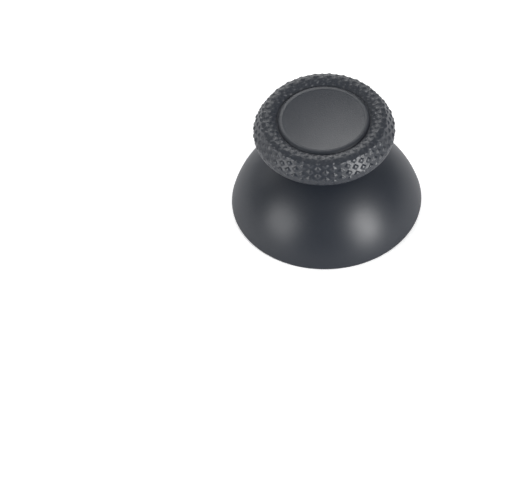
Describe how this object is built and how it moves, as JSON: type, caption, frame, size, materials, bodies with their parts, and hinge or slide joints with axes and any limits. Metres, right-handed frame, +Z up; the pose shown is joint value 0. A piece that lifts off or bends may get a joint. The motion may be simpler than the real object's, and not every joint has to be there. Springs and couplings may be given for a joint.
{
  "type": "thumbstick cap",
  "caption": "Thumbstick cap: round knurled rim round a shallow thumb dish, on a short neck over a hollow dome with a keyed blind socket inside.",
  "frame": {"origin": "centre of the base plane that the dome's edge stands on", "axes": "+Z up along the stick's axis, out through the thumb dish; +X across the socket's round sides, +Y across its flats"},
  "size_m": [0.0256, 0.0256, 0.0162],
  "materials": {
    "cap_plastic": "fine matte grain on the cap, satin on the dome"
  },
  "bodies": {
    "root": {"thumbstick_cap": "cap_plastic"}
  },
  "joints": []
}
